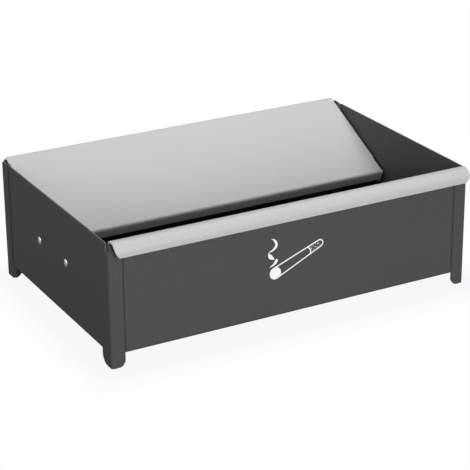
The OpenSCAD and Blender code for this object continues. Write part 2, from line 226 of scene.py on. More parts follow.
def index_at(line: Array, spot: Sequence[float]) -> int:
    """The number of the line's point that lies nearest to a spot."""
    return int(np.argmin(np.linalg.norm(line - np.array(spot), axis=1)))


def wall(plan: Array, low: float | Array, high: float | Array) -> Array:
    """A wall over a plan line, from a low height up to a high one.

    Point (0, i) stands at the low height of plan point i, and point (1, i) at its high one.

    Args:
        plan: The points of the wall's middle line.
        low: The height of the lower edge, one number or one for each point.
        high: The height of the upper edge, in the same way.

    Returns:
        A grid of points, 2 rows by the plan's points by 3 coordinates.
    """
    heights = np.stack([np.broadcast_to(height, len(plan)) for height in (low, high)])
    return together(plan[:, 0], plan[:, 1], heights)


def ruled(rows: Array, columns: Array | Sequence[float]) -> Array:
    """A surface swept along X: point (i, j) has column j's X and row i's other two coordinates.

    Args:
        rows: Two coordinates for each row.
        columns: The X of each column, or a grid of them with a row for each row.

    Returns:
        A grid of points with X first.
    """
    return together(columns, rows[:, :1], rows[:, 1:])


def mirrored(grid: Array, width: float) -> Array:
    """The mirror image in X = width / 2, its columns reversed so that it faces the same way."""
    return grid[:, ::-1] * [-1, 1, 1] + [width, 0, 0]


def climb(past: Array, radius: float) -> Array:
    """The rise r - sqrt(r^2 - d^2) of a quarter circle at a distance d past its lowest point."""
    return radius - np.sqrt(radius**2 - np.clip(past, 0, radius) ** 2)


def stitched(grids: Iterable[Array]) -> tuple[Array, Array]:
    """Joins grids of points into one surface wherever their points agree to a micrometre.

    The quad at (i, j) has the corners (i, j), (i + 1, j), (i + 1, j + 1) and (i, j + 1), so it
    faces along the row direction crossed with the column direction.

    Args:
        grids: The grids, all of which face the same way.

    Returns:
        The points and the quads.
    """
    points, quads, first = [], [], 0
    for grid in grids:
        index = first + np.arange(grid.shape[0] * grid.shape[1]).reshape(grid.shape[:2])
        corners = [index[:-1, :-1], index[1:, :-1], index[1:, 1:], index[:-1, 1:]]
        quads.append(together(*corners).reshape(-1, 4))
        points.append(grid.reshape(-1, 3))
        first += index.size
    every = np.concatenate(points)
    _, kept, which = np.unique(np.round(every, 3), axis=0, return_index=True, return_inverse=True)
    return every[kept], which.reshape(-1)[np.concatenate(quads)]





def quad_areas(points: Array, quads: Array) -> Array:
    """Each quad's normal times twice its area: the cross product of its diagonals."""
    corner = points[quads]
    return np.cross(corner[:, 2] - corner[:, 0], corner[:, 3] - corner[:, 1])


def linked(name: str, data: bpy.types.ID) -> Object:
    """A new object in the scene that holds the data."""
    holder = bpy.data.objects.new(name, data)
    bpy.context.scene.collection.objects.link(holder)
    return holder


def new_object(name: str, points: Array, faces: Array) -> Object:
    """A smooth mesh object in the scene, made of quads, from points in millimetres."""
    mesh = bpy.data.meshes.new(name)
    mesh.from_pydata(in_frame(points), [], faces.tolist())
    mesh.polygons.foreach_set("use_smooth", np.ones(len(faces), bool))
    return linked(name, mesh)


def sheet_metal(name: str, grids: Iterable[Array]) -> Object:
    """Gives a middle surface its thickness and rounds its cut edges.

    Every point is moved half the thickness out along the surface's normal on one side and on the
    other.  Around the open edges both sides are drawn in by the edge radius r, and rings join
    them.  With the edge's outward direction B and the normal N, a ring at the angle f lies at
    r * cos(f) along B and half the thickness - r + r * sin(f) along N.

    Args:
        name: The piece's name.
        grids: The grids of the middle surface.

    Returns:
        The closed piece, with a "rim" attribute that is 1 around its cut edges.
    """
    points, quads = stitched(grids)
    areas = quad_areas(points, quads)
    normal = np.zeros_like(points)
    np.add.at(normal, quads, areas[:, None])
    normal = unit(normal)

    start, end = quads.reshape(-1), np.roll(quads, -1, 1).reshape(-1)
    owner = np.repeat(np.arange(len(quads)), 4)
    count = len(points)
    is_open = ~np.isin(start * count + end, end * count + start)
    start, end, owner = start[is_open], end[is_open], owner[is_open]
    if len(np.unique(start)) != len(start):
        raise ValueError(f"{name}: two open edges meet in a point")
    outward = unit(np.cross(points[end] - points[start], unit(areas[owner])))
    leaving, arriving = np.zeros_like(points), np.zeros_like(points)
    leaving[start], arriving[end] = outward, outward
    corner = unit(leaving[start] + arriving[start])
    half, edge = BOX.skin, BOX.cut_edge
    reach = edge / np.sum(corner * outward, 1, keepdims=True)

    rim = np.arange(len(start))
    rim_of = np.zeros(count, int)
    rim_of[start] = rim
    inner = points.copy()
    inner[start] -= corner * reach
    angles = np.radians([90, 60, 30, 0, 0, -30, -60, -90])
    centres = np.array([1, 1, 1, 1, -1, -1, -1, -1]) * (half - edge)
    rings = [
        inner[start] + normal[start] * (c + edge * math.sin(f)) + corner * reach * math.cos(f)
        for c, f in zip(centres[1:-1], angles[1:-1])
    ]
    vertices = np.concatenate([inner + normal * half, inner - normal * half, *rings])
    rim_rings = (2 * count + k * len(start) + rim for k in range(len(rings)))
    ring_index = [start, *rim_rings, start + count]

    smooth = np.sum(leaving[start] * arriving[start], 1, keepdims=True) > math.cos(SMOOTH_CORNER)
    at_start = np.where(smooth, corner, outward)
    to = rim_of[end]
    at_end = np.where(smooth[to], corner[to], outward)
    faces, normals = [quads, quads[:, ::-1] + count], [normal[quads], -normal[quads[:, ::-1]]]
    for k, (low, high) in enumerate(zip(ring_index[:-1], ring_index[1:])):
        faces.append(together(low[to], low, high, high[to]))
        lean = [(math.cos(f), math.sin(f)) for f in angles[k : k + 2]]
        here = [at_start * c + normal[start] * s for c, s in lean]
        there = [at_end * c + normal[end] * s for c, s in lean]
        normals.append(np.stack([there[0], here[0], here[1], there[1]], 1))
    piece = new_object(name, vertices, np.concatenate(faces))
    piece.data.normals_split_custom_set(unit(np.concatenate(normals)).reshape(-1, 3).tolist())
    on_rim = piece.data.attributes.new(RIM, "FLOAT", "POINT")
    on_rim.data.foreach_set("value", (np.arange(len(vertices)) >= 2 * count).astype(np.float32))
    return piece


def joined(name: str, pieces: Sequence[Object]) -> Object:
    """One object from several that share a node."""
    context = {"active_object": pieces[0], "selected_editable_objects": list(pieces)}
    with bpy.context.temp_override(**context):
        bpy.ops.object.join()
    pieces[0].name = pieces[0].data.name = name
    return pieces[0]


# -------- shader maths


class Signal:
    """A shader socket that takes part in Python arithmetic."""

    def __init__(self, graph: "Graph", socket: bpy.types.NodeSocket) -> None:
        """Wraps a socket of the graph."""
        self.graph = graph
        self.socket = socket

    def __add__(self, other: "Term") -> "Signal":
        """self + other."""
        return self.graph.maths("ADD", self, other)

    def __sub__(self, other: "Term") -> "Signal":
        """self - other."""
        return self.graph.maths("SUBTRACT", self, other)

    def __mul__(self, other: "Term") -> "Signal":
        """self * other."""
        return self.graph.maths("MULTIPLY", self, other)

    __radd__ = __add__
    __rmul__ = __mul__


Term = Signal | float


class Graph:
    """The nodes of one material or of the world."""

    def __init__(self, owner: bpy.types.Material | bpy.types.World) -> None:
        """Starts an empty tree in the material or world."""
        owner.use_nodes = True
        self.tree = owner.node_tree
        self.tree.nodes.clear()

    def node(
        self, kind: str, settings: dict[str, object] | None = None, **inputs: object
    ) -> Signal | None:
        """Adds a node.

        Args:
            kind: The node's type without its "ShaderNode" prefix.
            settings: The node's own properties, and "output" for a named output.
            inputs: A value or a Signal for each socket, by the socket's name with "_" for a space,
                or by its number after an "_".

        Returns:
            The node's first output that is on, or the named one; None if it has no output.
        """
        made = self.tree.nodes.new("ShaderNode" + kind)
        settings = dict(settings or {})
        output = settings.pop("output", None)
        for name, value in settings.items():
            setattr(made, name, value)
        for name, value in inputs.items():
            key = int(name[1:]) if name[1:].isdigit() else name.replace("_", " ")
            socket = made.inputs[key]
            if isinstance(value, Signal):
                self.tree.links.new(value.socket, socket)
            else:
                socket.default_value = (*value, 1) if socket.type == "RGBA" else value
        if output is not None:
            return Signal(self, made.outputs[output])
        outputs = [s for s in made.outputs if s.enabled]
        return Signal(self, outputs[0]) if outputs else None

    def maths(self, operation: str, *terms: Term) -> Signal:
        """A Math node on numbers and signals."""
        inputs = {f"_{i}": term for i, term in enumerate(terms)}
        return self.node("Math", {"operation": operation}, **inputs)

    def between(self, low: object, high: object, factor: Term) -> Signal:
        """A colour on the way from low to high, by a Mix node."""
        return self.node("Mix", {"data_type": "RGBA", "output": 2}, _0=factor, _6=low, _7=high)

    def place(self) -> Signal:
        """Object coordinates."""
        return self.node("TexCoord", {"output": "Object"})

    def ray(self, kind: str) -> Signal:
        """1 for the rays of a kind, such as "Camera", and 0 for the others."""
        return self.node("LightPath", {"output": f"Is {kind} Ray"})

    def noise(self, size: float, detail: float = 2.0, roughness: float = 0.5) -> Signal:
        """Noise whose features are about so many millimetres across, from 0 to 1."""
        return self.node(
            "TexNoise",
            Vector=self.place(),
            Scale=MM_PER_M / size,
            Detail=detail,
            Roughness=roughness,
        )

    def bump(self, height: Signal, depth: float, strength: float) -> Signal:
        """A relief whose heights from 0 to 1 are so many millimetres deep."""
        return self.node("Bump", Height=height, Distance=depth / MM_PER_M, Strength=strength)

    def surface(self, shader: Signal) -> None:
        """Makes a shader the surface of the material or world."""
        is_world = isinstance(self.tree.id_data, bpy.types.World)
        self.node("OutputWorld" if is_world else "OutputMaterial", Surface=shader)


# -------- finishes


def grey(level: float) -> Colour:
    """The grey of a level."""
    return (level,) * 3


@dataclass(frozen=True)
class Finish:
    """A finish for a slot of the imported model."""

    slot: str
    colour: Colour
    name: str = field(default="finish", kw_only=True)

    def inputs(self, graph: Graph) -> dict[str, object]:
        """What goes into the surface shader, by the names of its sockets."""
        raise NotImplementedError

    def material(self) -> bpy.types.Material:
        """The finish as a new material."""
        made = bpy.data.materials.new(f"{self.slot}_{self.name}")
        graph = Graph(made)
        graph.surface(graph.node("BsdfPrincipled", **self.inputs(graph)))
        return made


@dataclass(frozen=True)
class PowderCoat(Finish):
    """Baked powder paint: fine orange peel, a faint grain, and lighter cut edges, partly a thinner
    film and partly a painted highlight.

    The colour is mixed towards a lighter one by a fine grain and by a slow drift over the sheet.
    """

    fleck: Colour
    # The cut edges' colour: a thinner film there, plus a painted highlight where the edges catch
    # light.
    rim: Colour
    roughness: float
    specular: float
    grain: float = 0.45
    grain_range: tuple[float, float] = (0.35, 0.7)
    grain_relief: float = 0.4
    fleck_share: float = 0.6
    fleck_drift: float = 0.5
    peel: float = 1.1
    peel_gloss: float = 0.12
    peel_depth: float = 0.012
    bump: float = 0.9
    mottle: float = 60.0
    mottle_gloss: float = 0.08

    def inputs(self, graph: Graph) -> dict[str, object]:
        """The coat's colour, gloss and orange peel."""
        grain = graph.noise(self.grain, detail=1)
        peel = graph.noise(self.peel, detail=2, roughness=0.55)
        drift = graph.noise(self.mottle, detail=1)
        low, high = self.grain_range
        speckle = graph.node("MapRange", Value=grain, From_Min=low, From_Max=high)
        share = speckle * (self.fleck_share + self.fleck_drift * drift)
        # Cut edges turn to the rim colour: a thinner film and a painted highlight.
        thin_film_and_highlight = graph.node("Attribute", {"attribute_name": RIM, "output": "Fac"})
        gloss = self.roughness + (peel - NOISE_MEAN) * self.peel_gloss
        return {
            "Base_Color": graph.between(
                graph.between(self.colour, self.fleck, share), self.rim, thin_film_and_highlight
            ),
            "Roughness": gloss + (drift - NOISE_MEAN) * self.mottle_gloss,
            "Specular_IOR_Level": self.specular,
            "Normal": graph.bump(peel + grain * self.grain_relief, self.peel_depth, self.bump),
        }


@dataclass(frozen=True)
class BareMetal(Finish):
    """Metal as it comes from the press: a soft shine with fine scratches and a dull mottle."""

    dull: Colour
    roughness: float
    scratch: float = 0.25
    scratch_share: float = 0.2
    scratch_gloss: float = 0.25
    scratch_depth: float = 0.01
    bump: float = 0.6
    mottle: float = 3.0
    mottle_share: float = 0.8

    def inputs(self, graph: Graph) -> dict[str, object]:
        """The metal's colour, gloss and scratches."""
        fine = graph.noise(self.scratch, detail=3, roughness=0.7)
        cloud = graph.noise(self.mottle)
        share = cloud * self.mottle_share + fine * self.scratch_share
        return {
            "Base_Color": graph.between(self.colour, self.dull, share),
            "Metallic": 1.0,
            "Roughness": self.roughness + (fine - NOISE_MEAN) * self.scratch_gloss,
            "Normal": graph.bump(fine, self.scratch_depth, self.bump),
        }


@dataclass(frozen=True)
class Moulding(Finish):
    """Moulded plastic or rubber, or a printed film: one colour with a fine skin."""

    shade: Colour
    roughness: float
    specular: float = 0.5
    skin: float = 0.5
    skin_depth: float = 0.006
    skin_gloss: float = 0.1
    bump: float = 0.8
    mottle: float = 6.0

    def inputs(self, graph: Graph) -> dict[str, object]:
        """The plastic's colour, gloss and skin."""
        skin = graph.noise(self.skin)
        cloud = graph.noise(self.mottle, detail=1)
        return {
            "Base_Color": graph.between(self.colour, self.shade, cloud),
            "Roughness": self.roughness + (skin - NOISE_MEAN) * self.skin_gloss,
            "Specular_IOR_Level": self.specular,
            "Normal": graph.bump(skin, self.skin_depth, self.bump),
        }


DARK_COAT = PowderCoat(
    "dark_powder_coat",
    colour=grey(0.0621),
    fleck=grey(0.0936),
    rim=grey(0.14),
    roughness=0.58,
    specular=0.14,
)
LIGHT_COAT = PowderCoat(
    "light_powder_coat",
    colour=grey(0.56),
    fleck=grey(0.62),
    rim=grey(0.66),
    roughness=0.42,
    specular=0.35,
    peel=0.9,
)
# The cap's coat is the light coat made darker: painted shade on the cap, not a different paint.
SHADED_CAP_COAT = replace(
    LIGHT_COAT, colour=grey(0.505), fleck=grey(0.56), rim=grey(0.6), name="cap_painted_shade"
)
RIVET_METAL = BareMetal("rivet_aluminium", (0.86, 0.86, 0.87), (0.72, 0.72, 0.74), 0.38)
WASHER_METAL = BareMetal("washer_steel", (0.62, 0.62, 0.6), (0.48, 0.48, 0.49), 0.3)
# The mandrels are dark steel, darkened further as painted shade in the rivets' holes.
MANDREL_METAL = BareMetal("mandrel_steel", (0.16, 0.16, 0.17), (0.1, 0.1, 0.11), 0.5)
NYLON = Moulding("spacer_nylon", (0.78, 0.77, 0.73), (0.72, 0.71, 0.67), 0.45)
RUBBER = Moulding(
    "stop_rubber", (0.022, 0.022, 0.023), (0.03, 0.03, 0.031), 0.75, 0.35, 0.35, 0.02
)
FILM = Moulding("pictogram_film", WHITE, grey(0.98), 0.35, 0.5, 0.7, 0.003)


class Paintbox:
    """Makes each finish once and gives it to the pieces."""

    def __init__(self) -> None:
        """Starts without materials."""
        self.made: dict[Finish, bpy.types.Material] = {}

    def dress(self, piece: Object, finish: Finish) -> None:
        """Gives the piece the finish in every material slot."""
        if finish not in self.made:
            self.made[finish] = finish.material()
        if not piece.data.materials:
            piece.data.materials.append(None)
        for holder in piece.material_slots:
            holder.material = self.made[finish]

    def stand_in(self, piece: Object, finish: Finish, body: Body, node: str) -> None:
        """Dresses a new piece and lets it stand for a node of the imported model.

        Args:
            piece: The new piece.
            finish: Its finish.
            body: The body it rides on.
            node: The node that it replaces.
        """
        self.dress(piece, finish)
        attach(piece, body.value)
        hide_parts(node)
        LOG.info("%s stands for %s: %d faces", piece.name, node, len(piece.data.polygons))


# -------- the dark box


@dataclass(frozen=True)
class SidePanel:
    """A side with its front corner post and foot, folded in at both seams and at the floor."""

    side: Side
    foot_depth: float = 20.0
    foot_side_r: float = 10.0
    foot_front_r: float = 7.0
    foot_front_turn: float = 60.0
    fold_z: float = 13.5
    relief: float = 1.5
    notch_y: float = 5.7

    def grids(self) -> list[Array]:
        """The left panel's middle surface: bands of wall, and the floor flange."""
        skin, post = BOX.skin, BOX.front_post
        tight, gap = self.side.front_seam
        shoulder, *rear_bend = BOX.rear_fold_start(-1)
        flange_end = rear_bend[-1][1] - BOX.seam_bend - BOX.cut_edge
        seam = post - gap - skin
        side_y = self.foot_depth - self.foot_side_r * (1 - np.sin(QUARTER[:-1]))
        lean = np.sin(np.radians(np.linspace(0, self.foot_front_turn, 7)))
        front_x = post - self.foot_front_r * (1 - lean) - skin * lean
        corners = [
            (BOX.rear_fold, shoulder[1], 0),
            shoulder,
            *rear_bend,
            (skin, flange_end, 0),
            (skin, self.foot_depth + self.relief, 0),
            *((skin, y, 0) for y in side_y),
            (skin, self.notch_y, 0),
            (skin, skin, BOX.bend),
            *((x, skin, 0) for x in front_x),
            (seam, skin, tight),
            (seam, BOX.front_fold, 0),
        ]
        plan = bent_line(corners)
        curve_x = post - self.foot_front_r
        outer_x = plan[:, 0] + skin * np.clip((plan[:, 0] - curve_x) / (seam - curve_x), 0, 1)
        low = climb(plan[:, 1] - (self.foot_depth - self.foot_side_r), self.foot_side_r)
        low += climb(outer_x - curve_x, self.foot_front_r)

        foot = index_at(plan, (skin, self.foot_depth))
        post_end = index_at(plan, (seam, skin + tight))
        rim, notch = index_at(plan, shoulder[:2]), index_at(plan, (skin, self.notch_y))
        bands = [
            (foot, post_end, low[foot : post_end + 1], self.fold_z),
            (foot, len(plan) - 1, self.fold_z, BOX.floor_bend_z),
            (0, len(plan) - 1, BOX.floor_bend_z, BOX.fold_top),
            (0, post_end, BOX.fold_top, BOX.rear_fold_top),
            (rim, post_end, BOX.rear_fold_top, BOX.notch_z),
            (rim, notch, BOX.notch_z, BOX.height),
        ]
        lip = plan[index_at(plan, (skin, flange_end)) :][:2]
        walls = [wall(plan[a : b + 1], base, top) for a, b, base, top in bands]
        return [*walls, floor_flange(lip, (1, 0))]

    def build(self, paints: Paintbox) -> None:
        """Makes and dresses the panel."""
        grids = self.grids()
        if self.side is Side.RIGHT:
            grids = [mirrored(grid, BOX.width) for grid in grids]
        piece = sheet_metal(f"side_panel_{self.side.word}", grids)
        paints.stand_in(piece, DARK_COAT, Body.BOX, f"{self.side.word}_side_panel")


def floor_flange(line: Array, inward: tuple[float, float]) -> Array:
    """The flange below a wall that carries the floor, from its tip up through the floor bend.

    Point (i, j) is the wall's point j moved inwards by profile point i, at that point's height.

    Args:
        line: The points of the wall's middle line over the flange.
        inward: The direction into the box.

    Returns:
        A grid of points.
    """
    low, reach = BOX.floor_bend_z - BOX.bend, BOX.flange - BOX.skin
    profile = bent_line([(reach, low, 0), (0, low, BOX.bend), (0, BOX.floor_bend_z, 0)])[:-1]
    spots = line + profile[:, :1, None] * np.array(inward)
    return together(spots[..., 0], spots[..., 1], profile[:, 1:])


@dataclass(frozen=True)
class FrontPanel:
    """The front between the posts: seam folds, a floor flange and a hem over the posts too."""

    hem_gap: float = 2.0
    hem_drop: float = 2.0
    relief: float = 1.0
    hem_inset: float = 1.65
    shoulder: float = 0.3
    neck: float = 1.0

    def build(self, paints: Paintbox) -> None:
        """Makes and dresses the panel."""
        skin, post, fold = BOX.skin, BOX.front_post, BOX.front_fold
        (left_bend, left_gap), (right_bend, right_gap) = (side.front_seam for side in Side)
        left, right = post + left_gap + skin, BOX.width - post - right_gap - skin
        inner = (left + left_bend, right - right_bend)
        hem_x = (self.hem_inset, *inner, BOX.width - self.hem_inset)
        flange_x = (post, *inner, BOX.width - post)
        front, hem_foot, flange_top = (together(x, skin) for x in (inner, hem_x, flange_x))
        corners = ((left, fold, 0), (left, skin, left_bend))
        plan = bent_line([*corners, (right, skin, right_bend), (right, fold, 0)])
        hem_r = (self.hem_gap + BOX.sheet) / 2
        hem_z = BOX.height - self.hem_drop - BOX.sheet - self.hem_gap / 2
        half_round = arc((skin + hem_r, hem_z), hem_r, 180, 0, steps=16)
        leg = [(skin + 2 * hem_r, BOX.cap_leg_z)]
        start, hem_low = BOX.floor_bend_z + self.relief, BOX.notch_z + self.shoulder
        grids = [
            wall(plan, start, BOX.fold_top),
            wall(plan[1:-1], BOX.fold_top, hem_low - self.neck),
            wall(front, BOX.floor_bend_z, start),
            wall(front, hem_low - self.neck, hem_low),
            wall(hem_foot, hem_low, hem_z),
            ruled(np.concatenate([half_round, leg]), hem_x),
            floor_flange(flange_top, (0, 1)),
        ]
        paints.stand_in(sheet_metal("front_sheet", grids), DARK_COAT, Body.BOX, "front_panel")


@dataclass(frozen=True)
class RearPanel:
    """The rear wall with both rear corner posts, folded in at the seams and at the floor."""

    foot_r: float = 8.0
    foot_start: float = 0.2
    relief: float = 0.5
    notch: tuple[float, float] = (4.5, 2.0)

    def half(self) -> list[Point]:
        """The corners of the plan's left half, from the seam fold's edge to the rear wall."""
        skin = BOX.skin
        rear = BOX.depth - skin
        shoulder, *seam_bend = BOX.rear_fold_start(1)
        curve = BOX.rear_fold - self.foot_r * (1 - np.sin(QUARTER))
        curve = curve[curve > shoulder[0] + self.foot_start]
        return [
            *((x, shoulder[1], 0) for x in curve),
            shoulder,
            *seam_bend,
            (skin, BOX.depth - self.notch[0], 0),
            (skin, rear, BOX.bend),
            *((x, rear, 0) for x in curve[::-1]),
            (BOX.rear_fold + self.relief, rear, 0),
        ]

    def build(self, paints: Paintbox) -> None:
        """Makes and dresses the panel."""
        skin, width = BOX.skin, BOX.width
        left = self.half()
        plan = bent_line(left + [(width - x, y, r) for x, y, r in left[::-1]])
        inset = np.minimum(plan[:, 0], width - plan[:, 0])
        low = climb(inset - (BOX.rear_fold - self.foot_r), self.foot_r)
        rear = BOX.depth - skin
        foot, lip = index_at(plan, (BOX.rear_fold, rear)), BOX.rear_fold + self.relief
        ear = index_at(plan, BOX.rear_fold_start(1)[0][:2])
        last = len(plan) - 1
        base, shoulder = BOX.floor_bend_z, BOX.height - self.notch[1]
        side_end = index_at(plan, (skin, BOX.depth - self.notch[0]))
        rear_end = index_at(plan, (BOX.rear_fold_stub, rear))
        crests = [(ear, side_end), (rear_end, last - rear_end), (last - side_end, last - ear)]
        grids = [
            wall(plan[: foot + 1], low[: foot + 1], base),
            wall(plan[last - foot :], low[last - foot :], base),
            wall(plan, base, BOX.rear_fold_top),
            wall(plan[ear : last - ear + 1], BOX.rear_fold_top, shoulder),
            *(wall(plan[a : b + 1], shoulder, BOX.height) for a, b in crests),
            floor_flange(together((lip, width - lip), rear), (0, -1)),
        ]
        paints.stand_in(sheet_metal("rear_sheet", grids), DARK_COAT, Body.BOX, "rear_panel")


@dataclass(frozen=True)
class FloorPlate:
    """The floor, notched around the corner posts."""

    middle_z: float = 15.75
    margin: float = 3.0
    front_notch: tuple[float, float] = (16.8, 10.3)
    rear_notch: tuple[float, float] = (10.3, 18.8)

    def build(self, paints: Paintbox) -> None:
        """Makes and dresses the plate: three bands of it, each between two lines across."""
        left = np.array([self.margin, self.rear_notch[0], self.front_notch[0]])
        across = np.concatenate([left, BOX.width - left[::-1]])
        front, rear = self.front_notch[1], BOX.depth - self.rear_notch[1]
        lines = (self.margin, front, rear, BOX.depth - self.margin)
        skipped = (2, 0, 1)
        grids = [
            ruled(together((a, b), self.middle_z), across[s : len(across) - s])
            for a, b, s in zip(lines[:-1], lines[1:], skipped)
        ]
        paints.stand_in(sheet_metal("floor_sheet", grids), DARK_COAT, Body.BOX, "floor_plate")


# -------- the light pieces


@dataclass(frozen=True)
class FrontCap:
    """The rolled cap: a straight front edge, the roll over the hem, and the riveted leg."""

    centre_y: float = 0.3
    centre_z: float = 118.4
    radius: float = 9.45
    low_z: float = 114.9
    back_y: float = 5.75
    back_bend: float = 2.0
    corner_r: float = 13.0
    corner_drop: float = 3.2

    def build(self, paints: Paintbox) -> None:
        """Makes and dresses the cap.

        The section runs up the front edge, round the roll to the point where a smaller arc
        touches it from inside, and down the leg.  Each row ends at the curve that takes off the
        roll's ends: an arc that would reach a little below the front edge.
        """
        bend_y = self.back_y - self.back_bend
        gap = self.radius - self.back_bend
        bend_z = self.centre_z + math.sqrt(gap**2 - (bend_y - self.centre_y) ** 2)
        touch = math.degrees(math.atan2(bend_z - self.centre_z, bend_y - self.centre_y))
        curve_z = self.low_z - self.corner_drop + self.corner_r
        front_z = np.linspace(self.low_z, self.centre_z, 9)[:-1]
        front = together(self.centre_y - self.radius, front_z)
        roll = arc((self.centre_y, self.centre_z), self.radius, 180, touch, steps=36)
        back = arc((bend_y, bend_z), self.back_bend, touch, 0, steps=8)[1:]
        rows = np.concatenate([front, roll, back, [[self.back_y, BOX.cap_leg_z]]])
        taken_off = climb(curve_z - rows[:, 1], self.corner_r)
        taken_off[-1] = 0
        start = BOX.cap_inset + taken_off
        grid = ruled(rows, together(start, BOX.width - start))
        # The cap wears the darker copy of the light coat: painted shade.
        paints.stand_in(sheet_metal("rolled_cap", [grid]), SHADED_CAP_COAT, Body.BOX, "front_cap")


@dataclass(frozen=True)
class LidFlap:
    """The sloping flap, with its front lip, its roll along the rear and an ear at each end.

    Its own coordinates are X from its left edge, u up the plate and w square to it.
    """

    front_y: float = 146.0
    front_z: float = 76.2
    lip: float = 12.0
    side_gap: float = 2.3
    relief: float = 1.0
    seat_gap: float = 0.3
    tip_angle: float = 15.0
    tail: float = 9.0
    skirt: float = 5.0
    corner_r: float = 3.5
    outer_r: float = 3.0
    roll_run: float = 20.0
    slot: float = 0.7
    ear_nick_r: float = 0.6
    pivot_fit: float = 0.08

    @property
    def edge(self) -> float:
        """Distance of the flap's ends from the side faces."""
        return BOX.sheet + self.side_gap

    @property
    def width(self) -> float:
        """Width of the flap."""
        return BOX.width - 2 * self.edge

    def slope(self) -> tuple[float, float]:
        """The flap's angle in radians, and the plate's length up to its roll on the rear panel."""
        rise = BOX.height + self.seat_gap - self.front_z
        rise -= (self.outer_r - BOX.sheet) * math.sin(math.radians(self.tip_angle))
        run = BOX.depth - self.outer_r - self.front_y
        span = math.hypot(run, rise)
        angle = math.atan2(rise, run) + math.asin(self.outer_r / span)
        return angle, math.sqrt(span**2 - self.outer_r**2)

    def pivot(self) -> Array:
        """The pivot's place (u, w)."""
        angle, _ = self.slope()
        dy, dz = BOX.pivot_y - self.front_y, BOX.pivot_z - self.front_z
        c, s = math.cos(angle), math.sin(angle)
        return np.array([dy * c + dz * s, dz * c - dy * s])

    def lifted(self, grid: Array) -> Array:
        """Points (X, u, w) of the flap, turned up to its slope and set in place."""
        angle, _ = self.slope()
        across, along, square = np.moveaxis(grid, -1, 0)
        y = self.front_y + along * math.cos(angle) - square * math.sin(angle)
        z = self.front_z + along * math.sin(angle) + square * math.cos(angle)
        return together(across + self.edge, y, z)

    def beside(self) -> Array:
        """The places u of the points along the ears' bends."""
        return np.linspace(self.outer_r + 2 * self.slot, self.pivot()[0] + self.tail, 9)

    def plate(self) -> list[Array]:
        """The lip, the front bend, the plate between its slots, and the rear roll."""
        angle, length = self.slope()
        skin, bend, near = BOX.skin, BOX.bend, BOX.skin + BOX.tight_bend
        lip_x = BOX.sheet + self.relief
        across = np.array([0, near, lip_x, self.width - lip_x, self.width - near, self.width])
        lip = together(skin, (-self.lip, -self.outer_r))
        front = arc((skin + bend, -self.outer_r), bend, 180, 90, steps=10)
        beside = self.beside()
        first, last = beside[0] - self.slot, beside[-1] + self.slot
        turn = np.linspace(90, self.tip_angle - math.degrees(angle), 12)
        roll = arc((length, -self.outer_r), bend, turn[0], turn[-1], steps=len(turn) - 1)
        run = together([last, length - self.roll_run], -skin)
        tail = np.concatenate([run, roll])
        outer_u = length + self.outer_r * np.cos(np.radians(np.minimum(turn, 90)))
        outer_u[turn < 0] = length + self.outer_r
        corner = climb(outer_u - (length + self.outer_r - self.corner_r), self.corner_r)
        inset = np.concatenate([np.zeros(len(run)), corner])[:, None]
        spread = inset + across / self.width * (self.width - 2 * inset)

        flat = together([first, *beside, last], -skin)
        return [
            ruled(lip, across[2:4]),
            ruled(np.concatenate([front, flat[:1]]), across),
            ruled(flat, across[1:-1]),
            ruled(tail, spread),
        ]

    def ear(self) -> list[Array]:
        """The left ear: the bend at the plate's side and the face around the pivot's hole.

        The face is drawn between the outline and the hole: point (0, j) lies on the hole's circle
        at the same angle as the outline's point (1, j).
        """
        skin, tight = BOX.skin, BOX.tight_bend
        beside, pivot = self.beside(), self.pivot()
        top, low = -skin - tight, pivot[1] - self.skirt
        shoulder = -self.outer_r - self.slot
        turn = arc((skin + tight, top), tight, 180, 90, steps=6)
        bend = together(turn[:, 0], beside[:, None], turn[:, 1])
        corners = [
            *((u, top, 0) for u in beside[::-1]),
            (beside[0], shoulder, 0),
            (0, shoulder, self.ear_nick_r),
            (0, low, self.corner_r),
            (beside[-1], low, self.corner_r),
            (beside[-1], top, 0),
        ]
        outline = bent_line(corners)
        hole = pivot + (BOX.rivet / 2 + self.pivot_fit) * unit(outline - pivot)
        loops = np.stack([hole, outline])
        return [bend, together(skin, loops[..., 0], loops[..., 1])]

    def build(self, paints: Paintbox) -> None:
        """Makes and dresses the flap."""
        ear = self.ear()
        grids = self.plate() + ear + [mirrored(grid, self.width) for grid in ear]
        piece = sheet_metal("sloping_flap", [self.lifted(grid) for grid in grids])
        paints.stand_in(piece, LIGHT_COAT, Body.FLAP, "lid_flap")


# -------- rivets and stops


class Turned:
    """A piece made by turning a closed profile once round an axis."""

    def profile(self) -> Array:
        """Radius and height of each point, outwards at the far end and inwards at the start."""
        raise NotImplementedError

    def make(self, name: str, origin: Point, axis: Point) -> Object:
        """Makes the piece.

        Point (i, j) is the origin plus the profile's height i along the axis plus its radius i
        times cos(a) and sin(a) along two directions square to the axis, where a goes round with j.

        Args:
            name: The piece's name.
            origin: The point on the axis at height 0.
            axis: The direction of the axis.

        Returns:
            The closed piece.
        """
        along = np.array(axis, float)
        first = np.array([along[2], along[0], along[1]])
        second = np.cross(along, first)
        angle = np.linspace(0, 2 * np.pi, TURN_STEPS + 1)
        spoke = np.cos(angle)[:, None] * first + np.sin(angle)[:, None] * second
        radius, height = self.profile().T[:, :, None, None]
        piece = new_object(name, *stitched([radius * spoke + height * along + np.array(origin)]))
        piece.data.set_sharp_from_angle(angle=SHARP_EDGE)
        return piece


